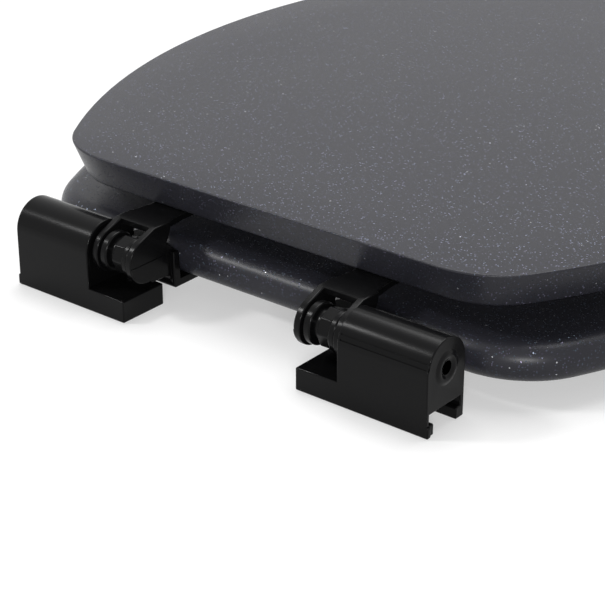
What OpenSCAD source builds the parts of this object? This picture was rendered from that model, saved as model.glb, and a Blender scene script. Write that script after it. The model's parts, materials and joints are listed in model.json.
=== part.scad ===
// Soft-close toilet seat: bevelled lid, round-edged ring and two moulded hinge blocks.
// Millimetres. Z = 0 is the top of the bowl, the front of the seat points to -Y.
// The origin is the middle of the footprint, from the hinge blocks to the ring's front.

/* [Ring] */
// Overall width of the ring
ring_w = 364; // [350:1:380]
// Depth of the ring, from its straight rear edge to its front tip
ring_d = 411; // [395:1:425]
// Thickness of the ring
ring_t = 17.5; // [15:0.5:20]
// Height of the ring's underside above the bowl
ring_z = 9.2; // [8.6:0.1:11]
// Distance from the hinge axis forward to the ring's rear edge
ring_setback = 23.3; // [23:0.1:26]
// Radius of the ring's rear corners
ring_corner_r = 46; // [40:1:50]
// Angle through which a rear corner turns
ring_corner_turn = 63; // [58:1:66]
// Radius of the ring's long sides
ring_side_r = 349; // [330:1:370]

/* [Opening] */
// Width of the opening
opening_w = 222; // [205:1:235]
// Depth of the opening
opening_d = 267; // [250:1:280]
// Width of the band behind the opening
rear_band = 72; // [66:1:80]
// Radius of the opening's rear corners
opening_corner_r = 76; // [68:1:80]
// Angle through which a rear corner of the opening turns
opening_corner_turn = 65; // [60:1:68]
// Radius of the opening's long sides
opening_side_r = 215; // [200:1:225]
// Radius of the edge round the opening
opening_edge_r = 6.5; // [4:0.5:7]
// Fall of the sitting face towards the opening
dish = 1.6; // [0.5:0.1:3]

/* [Lid] */
// Overall width of the lid
lid_w = 360; // [348:1:376]
// Depth of the lid
lid_d = 411; // [395:1:425]
// Thickness of the lid
lid_t = 16.4; // [14:0.1:20]
// How far the lid's rear edge stands behind the ring's rear edge
lid_overhang = 2.4; // [0:0.1:5]
// Height of the lid's underside above the hinge axis
leaf_rise = 13.3; // [13:0.1:15]
// Radius of the lid's rear corners
lid_corner_r = 41.5; // [36:0.5:46]
// Angle through which a rear corner of the lid turns
lid_corner_turn = 57; // [54:1:60]
// Radius of the lid's long sides
lid_side_r = 327; // [315:1:345]
// How far the bevelled side leans in from the top edge to the lower edge
bevel_in = 5.4; // [3:0.1:8]
// Radius of the lid's soft lower edge
lower_edge_r = 2.4; // [1.5:0.1:3]
// Crisp chamfer of the lid's top edge
top_edge = 0.6; // [0.3:0.1:1]

/* [Hinge blocks] */
// Distance between the middles of the two blocks
hinge_spacing = 161; // [150:1:175]
// Length of a block along the hinge axis
block_l = 65; // [60:1:72]
// Width of a block, front to back
block_w = 25.5; // [24.5:0.1:28]
// Height of the low foot
foot_h = 10.2; // [9.8:0.1:10.4]
// Length of the foot under the knuckles
overhang = 21; // [20.4:0.1:24]
// Height of the hinge axis above the bowl
pin_z = 26.3; // [26:0.1:28]
// Wall of the tall shell
shell_t = 2; // [1.5:0.1:2.2]
// Thickness of the closed outer end
end_t = 3; // [2.6:0.1:4]
// Radius of the soft mound round the end screw
boss_r = 8; // [6:0.1:10]
// Height of the mound
boss_h = 0.8; // [0.4:0.1:0.9]
// Depth and width of the two lines along the rear face of the right block
seam = 0.6; // [0.3:0.1:0.8]
// Height of the upper line above the hinge axis
seam_rise = 5.6; // [4:0.1:7]
// Height from the lower line to the upper one
seam_step = 2.3; // [1.5:0.1:3]

/* [Slide channel] */
// Wall of the channel in the underside
channel_wall = 2.2; // [1.8:0.1:2.6]
// Height of the channel
channel_h = 8.3; // [7.6:0.1:8.6]
// Wall that closes the channel at the block's inner end
channel_end = 2.6; // [2:0.1:4]
// Height of the two rails that hold the slide plate
rail_h = 5; // [3.5:0.1:5.5]
// How far each rail stands into the channel
rail_in = 3; // [1.5:0.1:4]
// How far the rear rail sticks out of the block's end
rail_out = 0.9; // [0.4:0.1:1.5]
// Height of the notch in the closed outer end
notch_h = 9.7; // [9:0.1:10.2]

/* [Knuckles] */
// Thickness of one ear of the lid leaf
ear_t = 3.2; // [2.8:0.1:3.6]
// Radius of an ear round the hinge axis
ear_r = 10.4; // [9.6:0.1:11.2]
// Height of the small ledge on the free ear's face, below the axis
ledge_drop = 1; // [0.5:0.1:5]
// How far that ledge stands proud
ledge_h = 0.4; // [0.2:0.1:0.6]
// Thickness of both leaves' plates
plate_t = 3.4; // [2.8:0.1:3.6]
// Distance from the axis forward to the rear edge of the lid leaf's plate
plate_start = 5.8; // [4:0.1:7]
// Width of the lid leaf's plate under the lid
lid_plate_w = 18.5; // [16:0.5:20]
// Length of the lid leaf's plate ahead of the lid's rear edge
lid_plate_l = 50; // [44:1:60]
// Length of the seat leaf's plate ahead of the ring's rear edge
seat_plate_l = 46; // [42:1:55]
// Radius of the two rings of the seat leaf's knuckle
ring_knuckle_r = 9.3; // [8.8:0.1:9.4]
// Width of the outer ring of that knuckle
first_ring_w = 3.9; // [3:0.1:4.4]
// Width of the groove beside it
groove_w = 3; // [2:0.1:4]
// Width of the ring at its other end
last_ring_w = 3.4; // [2.6:0.1:4]
// Radius of the knuckle's core at the bottom of the groove
core_r = 6.9; // [6.6:0.1:7.4]
// Radius of the faceted barrel over its corners
barrel_r = 8.9; // [8.2:0.1:9.1]
// Number of facets of the barrel
barrel_facets = 8; // [6:1:10]
// Thickness of the wall that drops behind the ring
wall_t = 3.4; // [2.6:0.1:4]
// How far the top of that wall lies below the axis
wall_drop = 3; // [2:0.1:5]
// How far the wall and plate stand out beyond the knuckle on each side
wall_step = 2; // [1:0.1:2.4]
// Height of the arm's shoulder above the axis
shoulder_rise = 4.6; // [3:0.1:6]

/* [Dampers and pins] */
// Radius of the hinge pin
pin_r = 5; // [4.4:0.1:5.2]
// Distance over the two flats that turn the pin with its leaf
pin_flats = 7.6; // [7:0.1:8]
// Radius of the damper cartridge
damper_r = 8.2; // [7.4:0.1:8.4]
// Length of the pin inside the damper
pin_in_damper = 26; // [18:1:29]
// Face of the carrier behind the shell's rim
carrier_recess = 0.8; // [0.5:0.1:2]
// Wall of the carrier round the pin
carrier_wall = 3; // [2:0.1:4]
// Width of the carrier's rim
carrier_rim = 1.5; // [1:0.1:2]
// Width of the two keys that stop the cartridge turning
key_w = 3; // [2:0.1:4]
// Height of a key
key_h = 0.9; // [0.6:0.1:1]

/* [Screws and buffers] */
// Shank radius of the leaf screws
screw_r = 2; // [1.6:0.1:2.2]
// Head radius of the leaf screws
screw_head_r = 3.8; // [3.2:0.1:4.2]
// Length of the leaf screws
screw_l = 15; // [12:0.5:16]
// Distance between the two screws of a leaf
screw_pitch = 20; // [16:1:24]
// Shank radius of the end screws
end_screw_r = 1.5; // [1.2:0.1:1.8]
// Head radius of the end screws
end_head_r = 2.6; // [2.3:0.1:3]
// Length of the end screws
end_screw_l = 8; // [6:0.5:9]
// Radius of the ring's rubber feet
foot_r = 11; // [9:0.5:13]
// Radius of the lid's rubber buffers
buffer_r = 8; // [6:0.5:10]
// Radius of the stem that holds a foot or buffer
stem_r = 3; // [2:0.1:4]
// Length of that stem
stem_l = 8; // [5:0.5:9]

/* [Clearances] */
// Gap beside the ears, along the axis
side_gap = 0.4; // [0.3:0.05:0.6]
// Gap between the clevis and the tall shell
shell_gap = 0.7; // [0.4:0.1:1]
// Running clearance of the pin, on the radius
pin_fit = 0.05; // [0.02:0.01:0.08]
// Gap round parts that are pushed together
push_fit = 0.15; // [0.1:0.05:0.2]
// Gap between the arm and the foot below it
foot_clear = 2; // [1.5:0.1:3]
// Gap between the wall of the seat leaf and the ring
wall_gap = 1.2; // [0.5:0.1:2]
// Gap under a buffer of the closed lid
rest_gap = 0.3; // [0.2:0.1:0.5]

/* [Hidden] */
$fn = 96;
plastic = "#18181a";
paint = "#2b2b33";
rubber = "#303032";
metal = "#b8babd";

cut = 1;
lap = 0.05;
block_r = block_w / 2;
total_d = block_r + ring_setback + ring_d;
rear_y = total_d / 2;
pin_y = rear_y - block_r;
ring_y = pin_y - ring_setback;
ring_top = ring_z + ring_t;
lid_y = ring_y + lid_overhang;
lid_z = pin_z + leaf_rise;
lid_top = lid_z + lid_t;
opening_y = ring_y - rear_band;

inner_x = (hinge_spacing - block_l) / 2;
outer_x = inner_x + block_l;
tall_x = inner_x + overhang;
clevis_out = tall_x - shell_gap;
free_ear_out = 3;
clevis_in = inner_x - free_ear_out;
knuckle_in = clevis_in + ear_t + side_gap;
knuckle_out = clevis_out - ear_t - side_gap;

corner_steps = 12;
side_steps = 8;
turn_steps = 6;
front_steps = 12;
rear_foot_station = 10;
front_foot_station = corner_steps + side_steps + turn_steps + 4;
lid_buffer_station = front_foot_station + 2;

// Outline of the ring, lid or opening: a straight rear edge, then arcs that meet in line.
// An outline is [half width, depth, corner radius, corner turn, side radius, y of its rear edge].
ring_line = [ring_w / 2, ring_d, ring_corner_r, ring_corner_turn, ring_side_r, ring_y];
opening_line = [opening_w / 2, opening_d, opening_corner_r, opening_corner_turn,
                opening_side_r, opening_y];
lid_line = [lid_w / 2, lid_d, lid_corner_r, lid_corner_turn, lid_side_r, lid_y];

function steps(from, to, count) = [for (i = [1 : count]) from + (to - from) * i / count];
function arc_points(cx, cy, r, angles) = [for (a = angles) [cx + r * sin(a), cy + r * cos(a)]];
function half_outline(line, inset) =
  let (
    half = line[0],
    corner = line[2],
    turn = line[3],
    side = line[4],
    y = line[5],
    flat = half - corner * sin(turn) - side * (1 - sin(turn)),
    past = side - half,
    side_y = y - corner - (side - corner) * cos(turn),
    ahead = line[1] - (y - side_y),
    front = (side * side - past * past - ahead * ahead) / (2 * (side - ahead)),
    front_turn = 180 - asin(past / (side - front)),
    front_y = y - line[1] + front
  )
  concat(
    arc_points(flat, y - corner, corner - inset, concat([0], steps(0, turn, corner_steps))),
    arc_points(-past, side_y, side - inset, steps(turn, 90, side_steps)),
    arc_points(-past, side_y, side - inset, steps(90, front_turn, turn_steps)),
    arc_points(0, front_y, front - inset, steps(front_turn, 180, front_steps))
  );
function outline(line, inset) =
  let (half = half_outline(line, inset), last = len(half) - 1)
  concat(half, [for (i = [last - 1 : -1 : 0]) [-half[i][0], half[i][1]]]);
function at_height(points, z) = [for (p = points) [p[0], p[1], z]];
function flat_list(rings) = [for (r = rings) for (p = r) p];
function strip(a, b, count) = [
  for (i = [0 : count - 1])
    let (j = (i + 1) % count)
    for (f = [[a + i, b + j, b + i], [a + i, a + j, b + j]]) f
];

// A solid skinned over outlines stacked from the bottom up
module stack(rings) {
  count = len(rings[0]);
  top = (len(rings) - 1) * count;
  polyhedron(
    points = flat_list(rings),
    faces = concat(
      [[for (i = [count - 1 : -1 : 0]) i]],
      [for (k = [0 : len(rings) - 2]) for (f = strip(k * count, (k + 1) * count, count)) f],
      [[for (i = [0 : count - 1]) top + i]]
    )
  );
}

// A closed band skinned over outlines that go once round its section
module band(rings) {
  count = len(rings[0]);
  total = len(rings);
  polyhedron(
    points = flat_list(rings),
    faces = [
      for (k = [0 : total - 1])
        for (f = strip(k * count, ((k + 1) % total) * count, count)) f
    ]
  );
}

// The middle of the ring's band at one station of its outline
function band_middle(station) =
  (half_outline(ring_line, 0)[station] + half_outline(opening_line, 0)[station]) / 2;

// Extrudes a side view along X. Its first axis points forward from the hinge axis, its second up.
module along_x(x0, x1) {
  translate([x1, pin_y, pin_z])
    rotate([90, 0, -90])
      linear_extrude(height = x1 - x0)
        children();
}

// A round bar on the hinge axis
module rod(x0, x1, r) {
  translate([x0, pin_y, pin_z])
    rotate([0, 90, 0])
      cylinder(h = x1 - x0, r = r);
}

// A ring on the hinge axis with chamfered edges
module turned_ring(x0, x1, r, chamfer) {
  translate([x0, pin_y, pin_z])
    rotate([0, 90, 0])
      rotate_extrude()
        polygon([
          [0, 0], [r - chamfer, 0], [r, chamfer],
          [r, x1 - x0 - chamfer], [r - chamfer, x1 - x0], [0, x1 - x0]
        ]);
}

module on_side(side) {
  mirror([side > 0 ? 0 : 1, 0, 0])
    children();
}

// Half-round top over straight walls that go down by drop
module d_profile(r, drop) {
  circle(r = r);
  translate([-r, -drop])
    square([2 * r, drop]);
}

// Section of the pin where its two flats are cut
module flats_profile(grow) {
  intersection() {
    circle(r = pin_r + grow);
    square([2 * (pin_r + cut), pin_flats + 2 * grow], center = true);
  }
}

/* Hinge blocks */
damper_in = tall_x + carrier_recess + carrier_wall;
damper_out = outer_x - end_t;
head_floor = 1.2;
head_x = outer_x - end_t + head_floor;
rail_corner = 0.8;
seam_gap = 1.2;
boss_steps = 12;

module channel_cuts() {
  width = block_w - 2 * channel_wall;
  front = rear_y - block_w + channel_wall;
  translate([inner_x + channel_end, front, -cut])
    cube([block_l, width, channel_h + cut]);
  translate([outer_x - end_t, front, -cut])
    cube([end_t + cut, width, notch_h + cut]);
}

module rails() {
  start = inner_x + channel_end;
  translate([start, rear_y - channel_wall - rail_in, 0])
    cube([outer_x - start, channel_wall + rail_in, rail_h]);
  translate([start, rear_y - block_w, 0])
    cube([outer_x - start, channel_wall + rail_in, rail_h]);
  translate([outer_x - rail_corner, rear_y - channel_wall, rail_corner])
    cube([rail_out + rail_corner, channel_wall, rail_h - 2 * rail_corner]);
  translate([outer_x - rail_corner, rear_y - channel_wall, 0])
    cube([rail_out, channel_wall, rail_h]);
  for (z = [rail_corner, rail_h - rail_corner])
    translate([outer_x + rail_out - rail_corner, rear_y, z])
      rotate([90, 0, 0])
        cylinder(h = channel_wall, r = rail_corner);
}

// A mound that rises from the end's flat face to a crest and dips again at the screw's hole
module end_boss() {
  run = boss_r - end_head_r;
  translate([outer_x, pin_y, pin_z])
    rotate([0, 90, 0])
      rotate_extrude()
        polygon(concat(
          [[0, -cut], [boss_r, -cut]],
          [
            for (i = [0 : boss_steps])
              [boss_r - run * i / boss_steps, (boss_h + lap) * pow(sin(180 * i / boss_steps), 2) - lap]
          ],
          [[0, -lap]]
        ));
}

// The two lines where the half-round top of the right block meets its rear face
module seam_lines() {
  for (rise = [seam_rise, seam_rise - seam_step])
    along_x(tall_x + seam_gap, outer_x - seam_gap)
      rotate(-asin(rise / block_r))
        translate([-block_r - cut, -seam / 2])
          square([cut + seam, seam]);
}

module housing(side) {
  color(plastic)
    on_side(side) {
      difference() {
        union() {
          translate([inner_x, rear_y - block_w, 0])
            cube([block_l, block_w, foot_h]);
          along_x(tall_x, outer_x)
            d_profile(block_r, pin_z);
          end_boss();
        }
        along_x(tall_x - cut, outer_x - end_t)
          d_profile(block_r - shell_t, pin_z - foot_h);
        channel_cuts();
        rod(outer_x - end_t - cut, outer_x + cut, end_screw_r + push_fit);
        rod(head_x, outer_x + cut, end_head_r + push_fit);
        if (side < 0)
          seam_lines();
      }
      rails();
    }
}

module carrier(side) {
  r = block_r - shell_t - push_fit;
  drop = pin_z - foot_h;
  start = tall_x + carrier_recess;
  color(plastic)
    on_side(side)
      difference() {
        along_x(start, damper_out)
          d_profile(r, drop);
        along_x(start - cut, start + carrier_recess)
          intersection() {
            d_profile(r - carrier_rim, drop);
            translate([-r, carrier_rim - drop])
              square([2 * r, drop + r]);
          }
        rod(start - cut, damper_out + cut, pin_r + pin_fit);
        rod(damper_in, damper_out + cut, damper_r + push_fit);
        along_x(damper_in, damper_out + cut)
          square([key_w + 2 * push_fit, 2 * (damper_r + key_h + push_fit)], center = true);
      }
}

module damper(side) {
  collar = 1;
  color(metal)
    on_side(side)
      difference() {
        union() {
          turned_ring(damper_in, damper_out, damper_r, collar / 2);
          along_x(damper_in + collar, damper_out - collar)
            square([key_w, 2 * (damper_r + key_h)], center = true);
        }
        rod(damper_in - cut, damper_in + pin_in_damper + cut, pin_r + pin_fit);
        rod(head_x - end_screw_l - push_fit, damper_out + cut, end_screw_r + push_fit / 2);
      }
}

module end_screw(side) {
  head_h = (outer_x - head_x) / 2;
  slot = end_head_r / 4;
  color(metal)
    on_side(side)
      difference() {
        union() {
          rod(head_x - end_screw_l, head_x + head_h / 2, end_screw_r);
          turned_ring(head_x, head_x + head_h, end_head_r, head_h / 4);
        }
        for (a = [0, 90])
          translate([head_x + head_h, pin_y, pin_z])
            rotate([a, 0, 0])
              cube([head_h, 3 * slot, slot], center = true);
      }
}

/* Pins */
blind = 1.2;

// The pin turns with the lid in the left hinge and with the ring in the right one
module pin(side) {
  start = clevis_in + blind + push_fit;
  flat = pin_flats / 2;
  color(plastic)
    on_side(side)
      difference() {
        rod(start, damper_in + pin_in_damper, pin_r);
        for (under = [flat, -flat - pin_r])
          along_x(start - cut, clevis_out)
            translate([-pin_r - cut, under])
              square([2 * (pin_r + cut), pin_r]);
      }
}

/* Lid leaf */
lid_front_f = pin_y - lid_y + lid_plate_l;
wide_run = 4;
taper_start = plate_start + wide_run;
taper_end = pin_y - lid_y + bevel_in;
clevis_mid = (clevis_in + clevis_out) / 2;
clevis_w = clevis_out - clevis_in;
ear_run = 10;
ear_front_f = plate_start + ear_run;

// Point where a line from p touches a circle round the origin, on the given hand
function touch(p, r, hand) =
  let (reach = norm(p), lean = acos(r / reach), dir = atan2(p[1], p[0]) + hand * lean)
  [r * cos(dir), r * sin(dir)];

module ear_profile() {
  rear = [plate_start, leaf_rise];
  front = [ear_front_f, leaf_rise - plate_t];
  circle(r = ear_r);
  polygon([
    [0, 0], touch(rear, ear_r - lap, 1), rear, [ear_front_f, leaf_rise], front,
    touch(front, ear_r - lap, -1)
  ]);
}

module lid_plate() {
  half = clevis_w / 2;
  narrow = lid_plate_w / 2;
  translate([clevis_mid, pin_y, lid_z - plate_t])
    linear_extrude(height = plate_t) {
      polygon([
        [-half, -plate_start], [half, -plate_start], [half, -taper_start],
        [narrow, -taper_end], [narrow, narrow - lid_front_f],
        [-narrow, narrow - lid_front_f], [-narrow, -taper_end], [-half, -taper_start]
      ]);
      translate([0, narrow - lid_front_f])
        circle(r = narrow);
    }
}

lid_screw_f = [for (i = [0, 1]) lid_front_f - lid_plate_w / 2 - i * screw_pitch];

module screw_holes(z, f_list, r) {
  for (f = f_list)
    translate([clevis_mid, pin_y - f, z]) {
      cylinder(h = 2 * screw_l, r = r);
      children();
    }
}

// Cone for a countersunk head whose flat face points down
module head_cone(grow) {
  cylinder(h = screw_head_r - screw_r, r1 = screw_head_r + grow, r2 = screw_r + grow);
}

module lid_leaf(side) {
  color(plastic)
    on_side(side)
      difference() {
        union() {
          along_x(clevis_in, clevis_in + ear_t)
            ear_profile();
          along_x(clevis_out - ear_t, clevis_out)
            ear_profile();
          along_x(clevis_in - ledge_h, clevis_in + cut)
            intersection() {
              circle(r = ear_r - ledge_h);
              translate([-ear_r, -ear_r - ledge_drop])
                square([2 * ear_r, ear_r]);
            }
          lid_plate();
        }
        if (side > 0)
          along_x(clevis_in + blind, clevis_out + cut)
            flats_profile(push_fit / 2);
        else
          rod(clevis_in + blind, clevis_out + cut, pin_r + pin_fit);
        screw_holes(lid_z - plate_t - cut, lid_screw_f, screw_r + push_fit)
          translate([0, 0, cut])
            head_cone(push_fit);
      }
}

/* Seat leaf */
front_f = ring_setback - wall_gap;
wall_f = front_f - wall_t;
plate_bottom = ring_z - plate_t;
plate_bottom_h = plate_bottom - pin_z;
under_h = foot_h - pin_z + foot_clear;
heel_r = 3;
toe_r = 1.5;
knuckle_chamfer = 0.6;
seat_front_f = ring_setback + seat_plate_l;
seat_plate_w = knuckle_out - knuckle_in + 2 * wall_step;
seat_screw_f = [for (i = [0, 1]) seat_front_f - seat_plate_w / 2 - i * screw_pitch];

module arm_profile() {
  polygon(concat(
    [
      [0, core_r], [wall_f - wall_t, shoulder_rise], [wall_f, 0], [front_f, -wall_drop],
      [front_f + cut, ring_z - pin_z], [front_f + cut, plate_bottom_h]
    ],
    [
      for (a = [0 : 15 : 90])
        [wall_f + toe_r - toe_r * sin(a), plate_bottom_h + toe_r - toe_r * cos(a)]
    ],
    [
      for (a = [0 : 15 : 90])
        [wall_f - heel_r + heel_r * cos(a), under_h - heel_r + heel_r * sin(a)]
    ],
    [[core_r, under_h], [0, -core_r]]
  ));
}

module wall_profile() {
  polygon(concat(
    [
      [wall_f, -wall_drop], [front_f, -wall_drop], [front_f + cut, ring_z - pin_z],
      [front_f + cut, plate_bottom_h]
    ],
    [
      for (a = [0 : 15 : 90])
        [wall_f + toe_r - toe_r * sin(a), plate_bottom_h + toe_r - toe_r * cos(a)]
    ]
  ));
}

module seat_plate() {
  half = seat_plate_w / 2;
  mid = (knuckle_in + knuckle_out) / 2;
  translate([mid, pin_y, plate_bottom])
    linear_extrude(height = plate_t) {
      translate([-half, half - seat_front_f])
        square([seat_plate_w, seat_front_f - half - front_f]);
      translate([0, half - seat_front_f])
        circle(r = half);
    }
}

// The knuckle's rings, groove and barrel, in the same order from left to right in both hinges
module knuckle(side) {
  span = knuckle_out - knuckle_in;
  translate([side > 0 ? 0 : knuckle_in + knuckle_out, 0, 0])
    mirror([side > 0 ? 0 : 1, 0, 0]) {
      rod(knuckle_in, knuckle_out, core_r);
      turned_ring(knuckle_out - first_ring_w, knuckle_out, ring_knuckle_r, knuckle_chamfer);
      turned_ring(knuckle_in, knuckle_in + last_ring_w, ring_knuckle_r, knuckle_chamfer);
      along_x(knuckle_in + last_ring_w, knuckle_out - first_ring_w - groove_w)
        circle(r = barrel_r, $fn = barrel_facets);
    }
}

module seat_leaf(side) {
  color(plastic)
    on_side(side)
      difference() {
        union() {
          knuckle(side);
          along_x(knuckle_in, knuckle_out)
            arm_profile();
          along_x(knuckle_in - wall_step, knuckle_out + wall_step)
            wall_profile();
          seat_plate();
        }
        if (side > 0)
          rod(knuckle_in - cut, knuckle_out + cut, pin_r + pin_fit);
        else
          along_x(knuckle_in - cut, knuckle_out + cut)
            flats_profile(push_fit / 2);
        screw_holes(plate_bottom - cut, seat_screw_f, screw_r + push_fit)
          translate([0, 0, cut])
            head_cone(push_fit);
      }
}

/* Screws */
recess_w = 1.1;
recess_h = 1.6;
tip_l = 3;

module leaf_screw() {
  head_h = screw_head_r - screw_r;
  difference() {
    rotate_extrude()
      polygon([
        [0, 0], [screw_head_r, 0], [screw_r, head_h], [screw_r, screw_l - tip_l],
        [screw_r / 4, screw_l], [0, screw_l]
      ]);
    for (a = [0, 90])
      rotate([0, 0, a])
        cube([screw_head_r, recess_w, 2 * recess_h], center = true);
  }
}

module screws(side, z, f_list) {
  color(metal)
    on_side(side)
      for (f = f_list)
        translate([clevis_mid, pin_y - f, z])
          leaf_screw();
}

// Pilot holes for the leaf screws and for the stems of feet and buffers
module pilot_holes(z, f_list) {
  for (side = [-1, 1])
    on_side(side)
      for (f = f_list)
        translate([clevis_mid, pin_y - f, z])
          cylinder(h = screw_l + push_fit, r = screw_r + push_fit / 2);
}

module stem_holes(stations, z) {
  for (side = [-1, 1])
    for (s = stations)
      translate([side * band_middle(s)[0], band_middle(s)[1], z - cut])
        cylinder(h = stem_l + cut + push_fit, r = stem_r + push_fit / 2);
}

/* Ring and lid */
round_steps = 10;
edge_steps = 6;
flat_share = 0.45;
lower_edge_steps = 3;

module seat_ring() {
  r = ring_t / 2;
  e = opening_edge_r;
  inner_top = ring_top - dish;
  color(paint)
    difference() {
      band(concat(
        [
          for (i = [0 : round_steps])
            let (a = -90 + 180 * i / round_steps)
            at_height(outline(ring_line, r - r * cos(a)), ring_z + r + r * sin(a))
        ],
        [
          at_height(
            (1 - flat_share) * outline(ring_line, r) + flat_share * outline(opening_line, -e),
            ring_top
          )
        ],
        [
          for (i = [0 : edge_steps])
            let (a = 90 - 90 * i / edge_steps)
            at_height(outline(opening_line, e * cos(a) - e), inner_top - e + e * sin(a))
        ],
        [
          for (i = [0 : edge_steps])
            let (a = -90 * i / edge_steps)
            at_height(outline(opening_line, e * cos(a) - e), ring_z + e + e * sin(a))
        ]
      ));
      pilot_holes(plate_bottom, seat_screw_f);
      stem_holes([rear_foot_station, front_foot_station], ring_z);
    }
}

module lid() {
  lean = (bevel_in + lower_edge_r) / lid_t;
  color(paint)
    difference() {
      stack(concat(
        [
          for (i = [0 : lower_edge_steps])
            let (a = 90 - 90 * i / lower_edge_steps, r = lower_edge_r)
            at_height(outline(lid_line, bevel_in + r - r * cos(a)), lid_z + r - r * sin(a))
        ],
        [
          at_height(outline(lid_line, top_edge * lean), lid_top - 2 * top_edge),
          at_height(outline(lid_line, 0), lid_top - top_edge),
          at_height(outline(lid_line, top_edge), lid_top)
        ]
      ));
      pilot_holes(lid_z - plate_t, lid_screw_f);
      stem_holes([lid_buffer_station], lid_z);
    }
}

/* Feet and buffers */
foot_chamfer = 1.5;

// A rubber foot or buffer: a tapered pad with a stem that is pushed into the wood
module pad(x_sign, station, z0, z1, r) {
  color(rubber)
    translate([x_sign * band_middle(station)[0], band_middle(station)[1], z0])
      rotate_extrude()
        polygon([
          [0, 0], [r - foot_chamfer, 0], [r - foot_chamfer / 2, foot_chamfer],
          [r, z1 - z0], [stem_r, z1 - z0], [stem_r, z1 - z0 + stem_l], [0, z1 - z0 + stem_l]
        ]);
}

housing(1);  // left_housing
housing(-1);  // right_housing
carrier(1);  // left_carrier
carrier(-1);  // right_carrier
damper(1);  // left_damper
damper(-1);  // right_damper
end_screw(1);  // left_end_screw
end_screw(-1);  // right_end_screw
seat_ring();
seat_leaf(1);  // left_seat_leaf
seat_leaf(-1);  // right_seat_leaf
screws(1, plate_bottom, seat_screw_f);  // left_seat_screws
screws(-1, plate_bottom, seat_screw_f);  // right_seat_screws
pin(-1);  // right_pin
pad(1, front_foot_station, 0, ring_z, foot_r);  // front_left_foot
pad(-1, front_foot_station, 0, ring_z, foot_r);  // front_right_foot
pad(1, rear_foot_station, 0, ring_z, foot_r);  // rear_left_foot
pad(-1, rear_foot_station, 0, ring_z, foot_r);  // rear_right_foot
lid();
lid_leaf(1);  // left_lid_leaf
lid_leaf(-1);  // right_lid_leaf
screws(1, lid_z - plate_t, lid_screw_f);  // left_lid_screws
screws(-1, lid_z - plate_t, lid_screw_f);  // right_lid_screws
pin(1);  // left_pin
pad(1, lid_buffer_station, ring_top + rest_gap, lid_z, buffer_r);  // left_lid_buffer
pad(-1, lid_buffer_station, ring_top + rest_gap, lid_z, buffer_r);  // right_lid_buffer
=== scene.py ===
# %% [markdown]
# # A lacquered toilet seat on soft-close hinge blocks
#
# The imported model already holds every piece at its real size, and it is never moved here. This
# file gives those pieces their looks: a speckled lacquer on the two wooden panels, moulded black
# plastic on the hinges, rubber under the ring, and edges soft enough to catch the light.
# The first step loads the model.

# %% Load the imported model
import json
import math

import bmesh
import bpy
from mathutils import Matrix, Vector

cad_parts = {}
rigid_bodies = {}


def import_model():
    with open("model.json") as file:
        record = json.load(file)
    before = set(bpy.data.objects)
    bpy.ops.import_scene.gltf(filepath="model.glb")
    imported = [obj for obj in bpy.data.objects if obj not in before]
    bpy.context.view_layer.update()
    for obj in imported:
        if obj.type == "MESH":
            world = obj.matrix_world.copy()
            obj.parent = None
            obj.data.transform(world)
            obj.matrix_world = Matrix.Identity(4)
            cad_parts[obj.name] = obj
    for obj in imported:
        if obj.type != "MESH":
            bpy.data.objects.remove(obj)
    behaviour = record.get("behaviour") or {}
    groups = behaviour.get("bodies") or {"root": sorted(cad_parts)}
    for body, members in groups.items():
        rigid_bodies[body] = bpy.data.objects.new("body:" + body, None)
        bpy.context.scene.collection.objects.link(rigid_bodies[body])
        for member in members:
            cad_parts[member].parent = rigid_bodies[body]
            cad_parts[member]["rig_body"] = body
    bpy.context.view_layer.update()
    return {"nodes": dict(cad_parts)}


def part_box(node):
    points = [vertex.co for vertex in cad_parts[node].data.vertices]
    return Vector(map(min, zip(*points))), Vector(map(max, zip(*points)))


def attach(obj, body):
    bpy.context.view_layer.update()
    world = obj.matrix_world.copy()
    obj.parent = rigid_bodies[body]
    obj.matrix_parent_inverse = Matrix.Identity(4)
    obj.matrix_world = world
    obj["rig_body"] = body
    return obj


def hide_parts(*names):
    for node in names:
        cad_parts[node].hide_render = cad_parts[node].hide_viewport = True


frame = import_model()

MM = 0.001

# %% [markdown]
# ## The camera
#
# The photo looks at the seat's rear from its right and from above, with a long lens. A camera can
# be aimed by eye, but here its place was worked out from the hinge blocks, whose sizes are known.
# A long lens far away keeps the two blocks nearly the same size, as in the photo.

# %% Place the camera
EYE = Vector((-0.4721, 0.7442, 0.3623))
LOOK = Vector((0.5660, -0.7012, -0.4335))
LENS = 111.7

camera_data = bpy.data.cameras.new("camera")
camera_data.lens = LENS
camera_data.sensor_width = 36
camera_data.clip_start = 0.05
camera = bpy.data.objects.new("camera", camera_data)
camera.location = EYE
camera.rotation_mode = "QUATERNION"
camera.rotation_quaternion = LOOK.to_track_quat("-Z", "Y")
bpy.context.scene.collection.objects.link(camera)
bpy.context.scene.camera = camera
print("camera", round(EYE.length, 3), "m from the origin")

# %% [markdown]
# ## Small helpers for shader nodes
#
# Every finish below is a network of nodes. Made by hand in the shader editor it would be drawn
# with the mouse; in a script a few short helpers keep it readable. One makes a node and sets its
# sockets by name, and one makes a link. Values that are the same all over are set on the sockets.

# %% Node helpers
def add(tree, kind, label="", **values):
    """A node of this kind; values are set on the input sockets with those names."""
    node = tree.nodes.new(kind)
    node.label = label
    for name, value in values.items():
        node.inputs[name.replace("_", " ")].default_value = value
    return node


def join(tree, source, target):
    """Links an output socket to an input socket."""
    tree.links.new(source, target)


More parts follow.
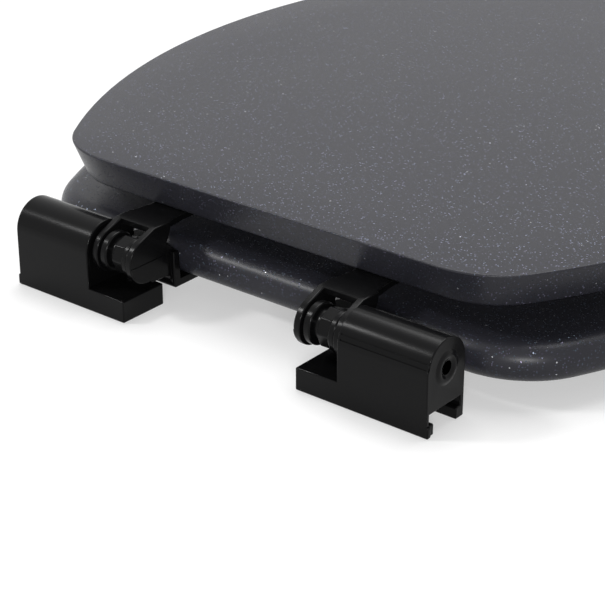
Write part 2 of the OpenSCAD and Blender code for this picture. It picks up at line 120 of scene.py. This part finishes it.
def maths(tree, operation, a, b=None, clamp=False):
    """A Math node; a and b are sockets or numbers. Gives its output socket."""
    node = tree.nodes.new("ShaderNodeMath")
    node.operation = operation
    node.use_clamp = clamp
    for socket, value in zip(node.inputs, (a, b)):
        if value is None:
            continue
        if isinstance(value, (int, float)):
            socket.default_value = value
        else:
            join(tree, value, socket)
    return node.outputs[0]


def mixed(tree, factor, first, second):
    """A colour between first and second; each may be a socket or an (r, g, b) colour."""
    node = tree.nodes.new("ShaderNodeMix")
    node.data_type = "RGBA"
    for name, value in (("Factor", factor), ("A", first), ("B", second)):
        socket = next(s for s in node.inputs if s.name == name and s.enabled)
        if isinstance(value, tuple):
            socket.default_value = (*value, 1)
        elif isinstance(value, (int, float)):
            socket.default_value = value
        else:
            join(tree, value, socket)
    return next(s for s in node.outputs if s.enabled)


def spread(tree, socket, low, high):
    """Stretches a socket's 0 to 1 over low to high."""
    node = tree.nodes.new("ShaderNodeMapRange")
    node.inputs["To Min"].default_value = low
    node.inputs["To Max"].default_value = high
    join(tree, socket, node.inputs["Value"])
    return node.outputs["Result"]


def new_group(name, inputs, outputs):
    """An empty shader group with named sockets. Gives the tree and its two end nodes."""
    tree = bpy.data.node_groups.new(name, "ShaderNodeTree")
    for label, kind, default in inputs:
        socket = tree.interface.new_socket(label, in_out="INPUT", socket_type=kind)
        if default is not None:
            socket.default_value = default
    for label, kind in outputs:
        tree.interface.new_socket(label, in_out="OUTPUT", socket_type=kind)
    return tree, tree.nodes.new("NodeGroupInput"), tree.nodes.new("NodeGroupOutput")


def placed(tree, group, **values):
    """Puts a group into a tree and sets its inputs by name."""
    node = tree.nodes.new("ShaderNodeGroup")
    node.node_tree = group
    for name, value in values.items():
        node.inputs[name.replace("_", " ")].default_value = value
    return node


FLOAT = "NodeSocketFloat"
COLOR = "NodeSocketColor"
VECTOR = "NodeSocketVector"

# %% [markdown]
# ## Flecks in the lacquer
#
# The lacquer holds tiny metal flakes that lie at random angles, so some flash and most stay dull.
# An image of dots would blur close up and repeat. A Voronoi texture gives one point per cell at
# any scale: a cell becomes a flake only if its random number is high enough, its dot has a random
# size, and its own random direction tips the surface there, so flakes light up one by one.

# %% Group: flecks
flecks, g_in, g_out = new_group(
    "flecks",
    [("Scale", FLOAT, 900.0), ("Share", FLOAT, 0.3), ("Radius", FLOAT, 0.3),
     ("Tilt", FLOAT, 0.5)],
    [("Mask", FLOAT), ("Chance", FLOAT), ("Normal", VECTOR)],
)
coords = add(flecks, "ShaderNodeTexCoord")
cells = add(flecks, "ShaderNodeTexVoronoi", "one point per cell")
join(flecks, coords.outputs["Object"], cells.inputs["Vector"])
join(flecks, g_in.outputs["Scale"], cells.inputs["Scale"])
random_parts = add(flecks, "ShaderNodeSeparateColor")
join(flecks, cells.outputs["Color"], random_parts.inputs["Color"])
chosen = maths(flecks, "LESS_THAN", random_parts.outputs["Red"], g_in.outputs["Share"])
size = maths(flecks, "MULTIPLY", spread(flecks, random_parts.outputs["Green"], 0.45, 1.0),
             g_in.outputs["Radius"])
inside = maths(flecks, "LESS_THAN", cells.outputs["Distance"], size)
mask = maths(flecks, "MULTIPLY", chosen, inside)
join(flecks, mask, g_out.inputs["Mask"])
join(flecks, random_parts.outputs["Blue"], g_out.inputs["Chance"])

geometry = add(flecks, "ShaderNodeNewGeometry")
centred = add(flecks, "ShaderNodeVectorMath", "random direction")
centred.operation = "SUBTRACT"
centred.inputs[1].default_value = (0.5, 0.5, 0.5)
join(flecks, cells.outputs["Color"], centred.inputs[0])
tipped = add(flecks, "ShaderNodeVectorMath", "only inside a fleck")
tipped.operation = "SCALE"
join(flecks, centred.outputs[0], tipped.inputs[0])
join(flecks, maths(flecks, "MULTIPLY", mask, g_in.outputs["Tilt"]), tipped.inputs["Scale"])
leaning = add(flecks, "ShaderNodeVectorMath", "lean the surface")
leaning.operation = "ADD"
join(flecks, geometry.outputs["Normal"], leaning.inputs[0])
join(flecks, tipped.outputs[0], leaning.inputs[1])
unit = add(flecks, "ShaderNodeVectorMath")
unit.operation = "NORMALIZE"
join(flecks, leaning.outputs[0], unit.inputs[0])
join(flecks, unit.outputs[0], g_out.inputs["Normal"])
print("group flecks:", len(flecks.nodes), "nodes")

# %% [markdown]
# ## Uneven gloss
#
# No real surface is evenly smooth: lacquer flows into faint waves, and moulded plastic shows
# cloudy patches and a fine grain. Two noises cover both, a broad one for the clouds and a fine
# one for the grain, and every material takes them with its own sizes.

# %% Group: clouds and grain
surface, s_in, s_out = new_group(
    "clouds_and_grain",
    [("Cloud scale", FLOAT, 40.0), ("Grain scale", FLOAT, 2500.0)],
    [("Clouds", FLOAT), ("Grain", FLOAT)],
)
coords = add(surface, "ShaderNodeTexCoord")
for output, scale_name, detail in (("Clouds", "Cloud scale", 3.0), ("Grain", "Grain scale", 2.0)):
    noise = add(surface, "ShaderNodeTexNoise", output, Detail=detail, Roughness=0.55)
    join(surface, coords.outputs["Object"], noise.inputs["Vector"])
    join(surface, s_in.outputs[scale_name], noise.inputs["Scale"])
    join(surface, noise.outputs["Fac"], s_out.inputs[output])
print("group clouds_and_grain:", len(surface.nodes), "nodes")

# %% [markdown]
# ## The speckled lacquer
#
# In the photo the panels are a dark neutral grey with a satin sheen, and the flecks look cool
# grey, bluish or violet. One Principled shader carries it: the base colour drifts a little with
# the clouds, two layers of flecks, sparse big ones and dense small ones, lay brighter colours
# over it, and each fleck is smoother and more metallic than the lacquer round it.

# %% Material: lacquer
LACQUER_DARK = (0.019, 0.019, 0.024)
LACQUER_LIGHT = (0.025, 0.025, 0.032)
FLECK_COOL = (0.20, 0.34, 0.44)
FLECK_WARM = (0.36, 0.30, 0.50)
FLECK_BRIGHT = (0.75, 0.76, 0.80)


def new_material(name, **values):
    """A material with one Principled shader. Gives the material, its tree and the shader."""
    material = bpy.data.materials.new(name)
    material.use_nodes = True
    tree = material.node_tree
    shader = tree.nodes["Principled BSDF"]
    for label, value in values.items():
        shader.inputs[label.replace("_", " ")].default_value = value
    return material, tree, shader


lacquer, tree, shader = new_material("lacquer", Specular_IOR_Level=0.22)
noise = placed(tree, surface, Cloud_scale=14.0, Grain_scale=1400.0)
base = mixed(tree, noise.outputs["Clouds"], LACQUER_DARK, LACQUER_LIGHT)
small = placed(tree, flecks, Scale=1100.0, Share=0.45, Radius=0.42, Tilt=0.7)
big = placed(tree, flecks, Scale=420.0, Share=0.07, Radius=0.17, Tilt=0.6)
small_colour = mixed(tree, small.outputs["Chance"], FLECK_COOL, FLECK_WARM)
with_small = mixed(tree, maths(tree, "MULTIPLY", small.outputs["Mask"], 0.16), base, small_colour)
with_big = mixed(tree, maths(tree, "MULTIPLY", big.outputs["Mask"], 0.55), with_small, FLECK_BRIGHT)
join(tree, with_big, shader.inputs["Base Color"])
any_fleck = maths(tree, "MAXIMUM", small.outputs["Mask"], big.outputs["Mask"])
join(tree, maths(tree, "MULTIPLY", any_fleck, 0.5), shader.inputs["Metallic"])
satin = spread(tree, noise.outputs["Clouds"], 0.30, 0.38)
join(tree, maths(tree, "SUBTRACT", satin, maths(tree, "MULTIPLY", any_fleck, 0.08)),
     shader.inputs["Roughness"])
orange_peel = add(tree, "ShaderNodeBump", "flow of the lacquer", Strength=0.05, Distance=0.0002)
join(tree, noise.outputs["Grain"], orange_peel.inputs["Height"])
join(tree, small.outputs["Normal"], orange_peel.inputs["Normal"])
join(tree, orange_peel.outputs["Normal"], shader.inputs["Normal"])
print("material lacquer:", len(tree.nodes), "nodes")

# %% [markdown]
# ## Moulded plastics, steel and rubber
#
# The hinge blocks and leaves are black moulded plastic between satin and gloss: nearly no colour
# of its own, so what shows is its reflections, a little cloudy and broken by a fine grain. Pins
# are the same black but smoother, the damper case is plain grey, the screws are plated steel, and
# the feet are matt rubber. They differ only in numbers, so one function makes them all.

# %% Materials: plastic, steel and rubber
def moulded(name, dark, light, rough, grain, clouds=60.0, grain_scale=2600.0, **values):
    """A moulded or plated finish: two close colours, a range of roughness and a grain's depth."""
    material, tree, shader = new_material(name, **values)
    noise = placed(tree, surface, Cloud_scale=clouds, Grain_scale=grain_scale)
    join(tree, mixed(tree, noise.outputs["Clouds"], dark, light), shader.inputs["Base Color"])
    join(tree, spread(tree, noise.outputs["Clouds"], *rough), shader.inputs["Roughness"])
    bump = add(tree, "ShaderNodeBump", "grain", Strength=grain, Distance=0.00005)
    join(tree, noise.outputs["Grain"], bump.inputs["Height"])
    join(tree, bump.outputs["Normal"], shader.inputs["Normal"])
    print("material", name + ":", len(tree.nodes), "nodes")
    return material


plastic = moulded("hinge_plastic", (0.0030, 0.0030, 0.0032), (0.0050, 0.0050, 0.0053),
                  (0.17, 0.24), 0.12, Specular_IOR_Level=0.10)
pin_plastic = moulded("pin_plastic", (0.006, 0.006, 0.006), (0.009, 0.009, 0.0095),
                      (0.20, 0.28), 0.15, Specular_IOR_Level=0.3)
damper_plastic = moulded("damper_plastic", (0.26, 0.26, 0.27), (0.32, 0.32, 0.33),
                         (0.45, 0.6), 0.4, Specular_IOR_Level=0.4)
steel = moulded("plated_steel", (0.52, 0.52, 0.53), (0.64, 0.64, 0.65), (0.25, 0.4), 0.3,
                clouds=400.0, Metallic=1.0)
black_steel = moulded("black_steel", (0.010, 0.010, 0.011), (0.018, 0.018, 0.019), (0.35, 0.5),
                      0.3, clouds=400.0, Specular_IOR_Level=0.3)
rubber = moulded("rubber", (0.012, 0.012, 0.013), (0.022, 0.022, 0.023), (0.75, 0.9), 0.8,
                 clouds=90.0, grain_scale=1800.0, Specular_IOR_Level=0.25)

# %% [markdown]
# ## The outline of the panels
#
# Ring, opening and lid are drawn alike: a straight rear edge, a corner arc, a long side arc and a
# round front, each in line with the next. A curve object could be bent by hand, but then the
# visible panel would drift from the construction. The same arcs, worked out again here with more
# points and taken from the frame's own boxes, give the panel the shape of the solid it replaces.

# %% The outline as a function
def arc(cx, cy, r, start, stop, count):
    """count points after the start of an arc; 0 degrees points to +Y, 90 degrees to +X."""
    angles = [math.radians(start + (stop - start) * i / count) for i in range(1, count + 1)]
    return [(cx + r * math.sin(a), cy + r * math.cos(a)) for a in angles]


def outline(shape, inset):
    """The closed outline of a panel, moved inwards by inset. Every outline has as many points."""
    half, depth, corner, turn, side, rear = shape
    s, c = math.sin(math.radians(turn)), math.cos(math.radians(turn))
    flat = half - corner * s - side * (1 - s)
    past = side - half
    side_y = rear - corner - (side - corner) * c
    ahead = depth - (rear - side_y)
    front = (side**2 - past**2 - ahead**2) / (2 * (side - ahead))
    front_turn = 180 - math.degrees(math.asin(past / (side - front)))
    front_y = rear - depth + front
    half_line = [(flat * i / 6, rear - inset) for i in range(7)]
    half_line += arc(flat, rear - corner, corner - inset, 0, turn, 24)
    half_line += arc(-past, side_y, side - inset, turn, 90, 16)
    half_line += arc(-past, side_y, side - inset, 90, front_turn, 12)
    half_line += arc(0, front_y, front - inset, front_turn, 180, 28)
    return half_line + [(-x, y) for x, y in reversed(half_line[1:-1])]


lid_low, lid_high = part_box("lid")
ring_low, ring_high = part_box("seat_ring")
LID = (lid_high.x, lid_high.y - lid_low.y, 41.5 * MM, 57, 327 * MM, lid_high.y)
RING = (ring_high.x, ring_high.y - ring_low.y, 46 * MM, 63, 349 * MM, ring_high.y)
REAR_BAND = 72 * MM
OPENING = (111 * MM, 267 * MM, 76 * MM, 65, 215 * MM, ring_high.y - REAR_BAND)
print("outline of", len(outline(LID, 0)), "points")

# %% [markdown]
# ## Rounding a section
#
# The side view of each panel is a few straight lines with rounded corners. Rounding with a Bevel
# modifier would work too, but at a panel's lower edge and its crisp top edge the radii differ, so
# the section is rounded first, as points, and the whole panel is then skinned over it.

# %% Rounded corners
def rounded(corners, steps=6):
    """Points along a section. A corner is (inset, height, radius); a radius of 0 stays sharp."""
    points = []
    for i, (x, z, r) in enumerate(corners):
        here = Vector((x, z))
        if r == 0:
            points.append(tuple(here))
            continue
        before = (Vector(corners[i - 1][:2]) - here).normalized()
        after = (Vector(corners[i + 1][:2]) - here).normalized()
        half_angle = before.angle(after) / 2
        centre = here + (before + after).normalized() * r / math.sin(half_angle)
        start = here + before * r / math.tan(half_angle) - centre
        sweep = start.angle_signed(here + after * r / math.tan(half_angle) - centre)
        for k in range(steps + 1):
            a = -sweep * k / steps
            points.append((centre.x + start.x * math.cos(a) - start.y * math.sin(a),
                           centre.y + start.x * math.sin(a) + start.y * math.cos(a)))
    return points


def new_piece(name, bm, material, body, slot, *nodes):
    """Turns a bmesh into a piece that rides on a body and stands for these nodes."""
    mesh = bpy.data.meshes.new(name)
    bmesh.ops.recalc_face_normals(bm, faces=bm.faces)
    bm.to_mesh(mesh)
    bm.free()
    mesh.materials.append(material)
    piece = bpy.data.objects.new(name, mesh)
    bpy.context.scene.collection.objects.link(piece)
    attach(piece, body)
    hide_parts(*nodes)
    return piece


def skin(loops, closed):
    """A bmesh of quads over loops of points. closed joins the last loop to the first."""
    bm = bmesh.new()
    rows = [[bm.verts.new(p) for p in loop] for loop in loops]
    pairs = list(zip(rows, rows[1:] + rows[:1])) if closed else list(zip(rows, rows[1:]))
    for a, b in pairs:
        for i in range(len(a)):
            bm.faces.new((a[i - 1], a[i], b[i], b[i - 1])).smooth = True
    return bm, rows

# %% [markdown]
# ## The lid
#
# The lid is a moulded wooden panel with a crisp top edge. Its side leans in as it goes down, so
# it throws the thin shadow that makes the lid look as if it floats on the ring. A box with a
# bevel can't lean that way; a skin over insets of the outline can. The top and underside are one
# flat face each, with flat shading, and only the side and its rounded edges are smooth.

# %% Build the lid
LEAN = math.tan(math.radians(21.8))
TOP_EDGE_R = 0.7 * MM
LOWER_EDGE_R = 2.4 * MM
lid_t = lid_high.z - lid_low.z
past_edge = TOP_EDGE_R * (1 - LEAN - math.hypot(1, LEAN))
lid_section = rounded([
    (30 * MM, 0, 0),
    (past_edge + lid_t * LEAN, 0, LOWER_EDGE_R),
    (past_edge, lid_t, TOP_EDGE_R),
    (30 * MM, lid_t, 0),
], steps=8)
loops = [[(x, y, lid_low.z + z) for x, y in outline(LID, inset)] for inset, z in lid_section]
bm, rows = skin(loops, closed=False)
for row in (rows[0], rows[-1]):
    bm.faces.new(row)
lid = new_piece("lid_panel", bm, lacquer, "lid", "lacquered_wood", "lid")
print("lid_panel:", len(lid.data.polygons), "faces")

# %% [markdown]
# ## The ring
#
# The ring's outer edge is a full half-round, its sitting face is flat and then falls a little
# towards the opening, and the opening's edge is rounded all the way round. It is one closed band:
# a loop of the outline for every point of its section, and the last loop joins the first.

# %% Build the ring
OPENING_EDGE_R = 6.5 * MM
DISH = 1.6 * MM
FLAT_SHARE = 0.45
ring_r = (ring_high.z - ring_low.z) / 2
centre_z = ring_low.z + ring_r
loops = []
for k in range(25):
    a = math.radians(-90 + 180 * k / 24)
    inset, z = ring_r - ring_r * math.cos(a), centre_z + ring_r * math.sin(a)
    loops.append([(x, y, z) for x, y in outline(RING, inset)])
outer, inner = outline(RING, ring_r), outline(OPENING, -OPENING_EDGE_R)
for share in (0.15, 0.3, 0.45, 0.55, 0.65, 0.75, 0.85, 0.93):
    fall = max(0, share - FLAT_SHARE) / (1 - FLAT_SHARE)
    z = ring_high.z - DISH * fall**1.4
    loops.append([(p[0] + (q[0] - p[0]) * share, p[1] + (q[1] - p[1]) * share, z)
                  for p, q in zip(outer, inner)])
for side, edge_z in ((1, ring_high.z - DISH - OPENING_EDGE_R), (-1, ring_low.z + OPENING_EDGE_R)):
    for k in range(11):
        a = math.radians(9 * (10 - k if side > 0 else k))
        inset, z = OPENING_EDGE_R * (math.cos(a) - 1), edge_z + side * OPENING_EDGE_R * math.sin(a)
        loops.append([(x, y, z) for x, y in outline(OPENING, inset)])
bm, rows = skin(loops, closed=True)
ring = new_piece("ring_panel", bm, lacquer, "seat", "lacquered_wood", "seat_ring")
print("ring_panel:", len(ring.data.polygons), "faces")

# %% [markdown]
# ## Soft edges on the moulded pieces
#
# Moulded parts never have knife edges: each edge is a tiny radius that catches a line of light,
# and without it black plastic looks like cut paper. The construction keeps its edges sharp, so
# each visible moulded piece gets a softened copy. The triangles of flat faces are dissolved, each
# outward edge gets a bevel weight by how much room its faces leave, and a Bevel modifier rounds
# them with hardened normals, so that the flat faces stay flat.

# %% Soften a moulded piece
SHARP = math.radians(28)


def room_beside(edge):
    """How far the narrower of an edge's two faces reaches from it."""
    a, b = (v.co for v in edge.verts)
    along = (b - a).normalized()
    reach = []
    for face in edge.link_faces:
        away = [(v.co - a) - along * (v.co - a).dot(along) for v in face.verts]
        reach.append(max(w.length for w in away))
    return min(reach)


def softened(node, name, material, slot, width, segments=3):
    """A copy of a CAD node with rounded outward edges, which stands for that node."""
    bm = bmesh.new()
    bm.from_mesh(frame["nodes"][node].data)
    bmesh.ops.remove_doubles(bm, verts=bm.verts, dist=2e-6)
    bmesh.ops.dissolve_limit(bm, angle_limit=math.radians(0.6), verts=bm.verts, edges=bm.edges)
    weight = bm.edges.layers.float.new("bevel_weight_edge")
    for face in bm.faces:
        face.smooth = True
    for edge in bm.edges:
        if len(edge.link_faces) != 2:
            continue
        angle = edge.calc_face_angle_signed()
        edge.smooth = abs(angle) < SHARP
        if angle > SHARP:
            edge[weight] = min(1, 0.4 * room_beside(edge) / width)
    piece = new_piece(name, bm, material, frame["nodes"][node]["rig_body"], slot, node)
    bevel = piece.modifiers.new("soft edges", "BEVEL")
    bevel.limit_method = "WEIGHT"
    bevel.width = width
    bevel.segments = segments
    bevel.use_clamp_overlap = False
    bevel.harden_normals = True
    print(name + ":", len(piece.data.polygons), "faces before rounding")
    return piece


for side in ("left", "right"):
    softened(f"{side}_housing", f"{side}_block_shell", plastic, "hinge_plastic", 0.6 * MM)
    softened(f"{side}_carrier", f"{side}_block_core", plastic, "hinge_plastic", 0.4 * MM)
    softened(f"{side}_lid_leaf", f"{side}_clevis_leaf", plastic, "hinge_plastic", 0.6 * MM)
    softened(f"{side}_seat_leaf", f"{side}_knuckle_leaf", plastic, "hinge_plastic", 0.6 * MM)

# %% [markdown]
# ## Finishes for the pieces that stay as they are
#
# Pins, dampers, screws and rubber pads already have the right shape. They only need a finish, and
# that goes into the material slot of the object itself, so their meshes stay untouched. The two
# screws in the blocks' ends are blackened, which is why their holes look dark in the photo.

# %% Finish the small pieces
FINISHES = {"pin": pin_plastic, "damper": damper_plastic, "screw": steel, "screws": steel,
            "foot": rubber, "buffer": rubber}
for name, node in frame["nodes"].items():
    finish = black_steel if "end_screw" in name else FINISHES.get(name.split("_")[-1])
    if finish and not node.hide_render:
        node.material_slots[0].material = finish
        print(name, "gets", finish.name)

# %% [markdown]
# ## Floor, surroundings and light
#
# A product photo of a black object needs a pale room: the black shows what it mirrors. The floor
# and the world are white to the eye and in reflections only, while the light that reaches the
# seat comes from big soft lamps at a plain level. The floor still takes the seat's shadow.

# %% Floor and world
def seen(tree):
    """1 for rays that see or mirror a surface, 0 for rays that only gather light."""
    path = add(tree, "ShaderNodeLightPath")
    mirrored = maths(tree, "MAXIMUM", path.outputs["Is Glossy Ray"],
                     path.outputs["Is Transmission Ray"])
    return maths(tree, "MAXIMUM", path.outputs["Is Camera Ray"], mirrored)


floor_material = bpy.data.materials.new("floor")
floor_material.use_nodes = True
tree = floor_material.node_tree
shader = tree.nodes["Principled BSDF"]
shader.inputs["Roughness"].default_value = 0.9
shader.inputs["Specular IOR Level"].default_value = 0.0
paper = add(tree, "ShaderNodeTexNoise", "paper", Scale=3.0, Detail=3.0)
shade = mixed(tree, paper.outputs["Fac"], (0.55, 0.55, 0.55), (0.57, 0.57, 0.57))
join(tree, mixed(tree, seen(tree), (0.35, 0.35, 0.35), shade), shader.inputs["Base Color"])
shader.inputs["Emission Strength"].default_value = 1.0
join(tree, mixed(tree, seen(tree), (0, 0, 0), (0.42, 0.42, 0.42)), shader.inputs["Emission Color"])

HALF_FLOOR = 6.0
bm = bmesh.new()
corners = [(-HALF_FLOOR, -HALF_FLOOR), (HALF_FLOOR, -HALF_FLOOR),
           (HALF_FLOOR, HALF_FLOOR), (-HALF_FLOOR, HALF_FLOOR)]
bm.faces.new([bm.verts.new((x, y, -0.0002)) for x, y in corners])
mesh = bpy.data.meshes.new("floor")
bm.to_mesh(mesh)
bm.free()
mesh.materials.append(floor_material)
floor = bpy.data.objects.new("floor", mesh)
bpy.context.scene.collection.objects.link(floor)

world = bpy.data.worlds.new("studio")
world.use_nodes = True
bpy.context.scene.world = world
tree = world.node_tree
background = tree.nodes["Background"]
join(tree, spread(tree, seen(tree), 0.28, 1.0), background.inputs["Strength"])
background.inputs["Color"].default_value = (1, 1, 1, 1)

# %% Lamps
def softbox(name, azimuth, elevation, distance, size, power):
    """A rectangular lamp aimed at the seat's rear. Azimuth 0 stands in front, 90 to the left."""
    a, e = math.radians(azimuth), math.radians(elevation)
    aim = Vector((0, 0.08, 0.03))
    away = Vector((math.sin(a) * math.cos(e), -math.cos(a) * math.cos(e), math.sin(e)))
    data = bpy.data.lights.new(name, "AREA")
    data.shape = "RECTANGLE"
    data.size, data.size_y = size
    data.energy = power
    lamp = bpy.data.objects.new(name, data)
    lamp.location = aim + away * distance
    lamp.rotation_mode = "QUATERNION"
    lamp.rotation_quaternion = (-away).to_track_quat("-Z", "Y")
    lamp.visible_camera = False
    bpy.context.scene.collection.objects.link(lamp)


softbox("overhead", 20, 70, 2.2, (1.8, 1.4), 40)
softbox("behind_camera", 218, 20, 2.0, (0.6, 0.25), 18)
softbox("rear_left", 131, 41, 2.0, (0.3, 0.3), 12)
bpy.context.scene.view_settings.view_transform = "Standard"
